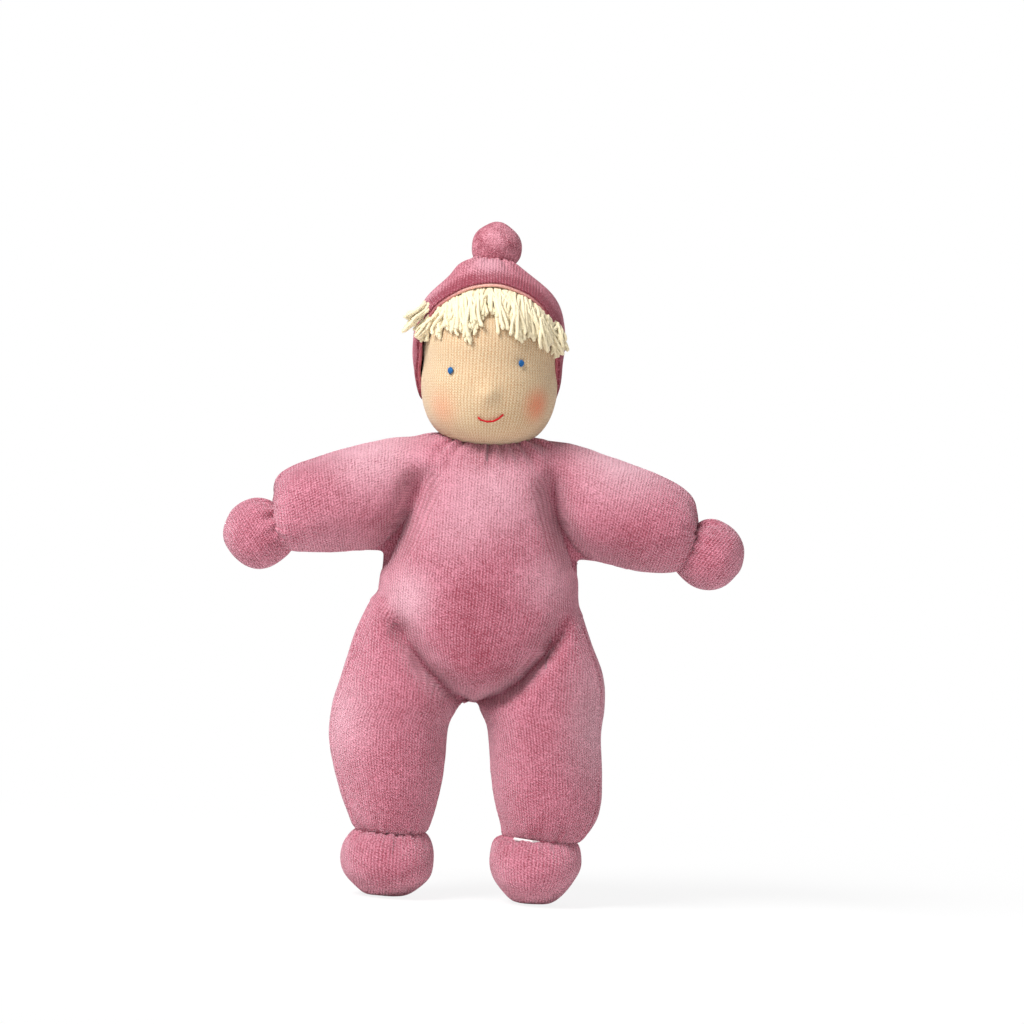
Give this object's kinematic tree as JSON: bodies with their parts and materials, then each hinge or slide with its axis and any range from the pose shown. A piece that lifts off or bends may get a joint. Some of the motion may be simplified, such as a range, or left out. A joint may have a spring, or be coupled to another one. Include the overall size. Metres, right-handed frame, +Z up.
{
  "type": "soft doll",
  "caption": "Stuffed velour doll in a one-piece suit and bonnet, with a tricot head, a yarn fringe and tied-off hands and feet.",
  "frame": {"origin": "on the floor midway between the two soles, under the middle of the doll's box", "axes": "+Z up along the upright doll, -Y the way the face looks, +X the doll's own left"},
  "size_m": [0.2364, 0.0714, 0.3002],
  "materials": {
    "rose_velour": "soft ribbed velour with a pale sheen",
    "wine_velour": "soft ribbed velour, a shade deeper",
    "peach_tricot": "fine matte cotton tricot",
    "cream_yarn": "plied wool yarn",
    "wool_stuffing": "carded wool",
    "tying_thread": "strong cotton thread",
    "blue_thread": "embroidery thread",
    "red_thread": "embroidery thread"
  },
  "bodies": {
    "torso": {"torso_front": "rose_velour", "torso_back": "rose_velour", "torso_stuffing": "wool_stuffing"},
    "neck": {"neck_stump": "wool_stuffing", "neck_tie": "tying_thread"},
    "head": {"head_skin": "peach_tricot", "head_core": "wool_stuffing", "eye_line_thread": "tying_thread", "nose_wool": "wool_stuffing", "eye_left": "blue_thread", "eye_right": "blue_thread", "mouth_stitch": "red_thread", "hair_fringe": "cream_yarn", "hat": "wine_velour", "hat_tie": "tying_thread"},
    "hat_ball": {"hat_ball_cover": "wine_velour", "hat_ball_stuffing": "wool_stuffing"},
    "arm_left": {"sleeve_front_left": "rose_velour", "sleeve_back_left": "rose_velour", "arm_stuffing_left": "wool_stuffing", "wrist_tie_left": "tying_thread"},
    "hand_left": {"hand_cover_left": "rose_velour", "hand_stuffing_left": "wool_stuffing"},
    "leg_left": {"leg_front_left": "rose_velour", "leg_back_left": "rose_velour", "leg_stuffing_left": "wool_stuffing", "ankle_tie_left": "tying_thread"},
    "foot_left": {"foot_cover_left": "rose_velour", "foot_stuffing_left": "wool_stuffing"},
    "arm_right": {"sleeve_front_right": "rose_velour", "sleeve_back_right": "rose_velour", "arm_stuffing_right": "wool_stuffing", "wrist_tie_right": "tying_thread"},
    "hand_right": {"hand_cover_right": "rose_velour", "hand_stuffing_right": "wool_stuffing"},
    "leg_right": {"leg_front_right": "rose_velour", "leg_back_right": "rose_velour", "leg_stuffing_right": "wool_stuffing", "ankle_tie_right": "tying_thread"},
    "foot_right": {"foot_cover_right": "rose_velour", "foot_stuffing_right": "wool_stuffing"}
  },
  "joints": [
    {"name": "neck_nod", "type": "hinge", "parent": "torso", "child": "neck", "pos_m": [0, 0, 0.1972], "axis": [1, 0, 0], "range_deg": [-12, 12], "stiffness_Nm_per_rad": 0.6},
    {"name": "neck_turn", "type": "hinge", "parent": "neck", "child": "head", "pos_m": [0, 0, 0.1972], "axis": [0, 0, 1], "range_deg": [-45, 45], "stiffness_Nm_per_rad": 0.15},
    {"name": "hat_ball_flop", "type": "hinge", "parent": "head", "child": "hat_ball", "pos_m": [0, 0, 0.2792], "axis": [0, 1, 0], "range_deg": [-20, 20], "stiffness_Nm_per_rad": 0.02},
    {"name": "shoulder_left", "type": "hinge", "parent": "torso", "child": "arm_left", "pos_m": [0.0495, 0, 0.1755], "axis": [0, -1, 0], "range_deg": [-30, 60], "stiffness_Nm_per_rad": 0.5},
    {"name": "wrist_left", "type": "hinge", "parent": "arm_left", "child": "hand_left", "pos_m": [0.09357, 0, 0.16418], "axis": [0, -1, 0], "range_deg": [-12, 12], "stiffness_Nm_per_rad": 0.1},
    {"name": "hip_left", "type": "hinge", "parent": "torso", "child": "leg_left", "pos_m": [0.033, 0, 0.1052], "axis": [-1, 0, 0], "range_deg": [-15, 75], "stiffness_Nm_per_rad": 0.3},
    {"name": "ankle_left", "type": "hinge", "parent": "leg_left", "child": "foot_left", "pos_m": [0.033, 0, 0.0294], "axis": [-1, 0, 0], "range_deg": [-10, 10], "stiffness_Nm_per_rad": 0.1},
    {"name": "shoulder_right", "type": "hinge", "parent": "torso", "child": "arm_right", "pos_m": [-0.0495, 0, 0.1755], "axis": [0, 1, 0], "range_deg": [-30, 60], "stiffness_Nm_per_rad": 0.5},
    {"name": "wrist_right", "type": "hinge", "parent": "arm_right", "child": "hand_right", "pos_m": [-0.09357, 0, 0.16418], "axis": [0, 1, 0], "range_deg": [-12, 12], "stiffness_Nm_per_rad": 0.1},
    {"name": "hip_right", "type": "hinge", "parent": "torso", "child": "leg_right", "pos_m": [-0.033, 0, 0.1052], "axis": [-1, 0, 0], "range_deg": [-15, 75], "stiffness_Nm_per_rad": 0.3},
    {"name": "ankle_right", "type": "hinge", "parent": "leg_right", "child": "foot_right", "pos_m": [-0.033, 0, 0.0294], "axis": [-1, 0, 0], "range_deg": [-10, 10], "stiffness_Nm_per_rad": 0.1}
  ]
}
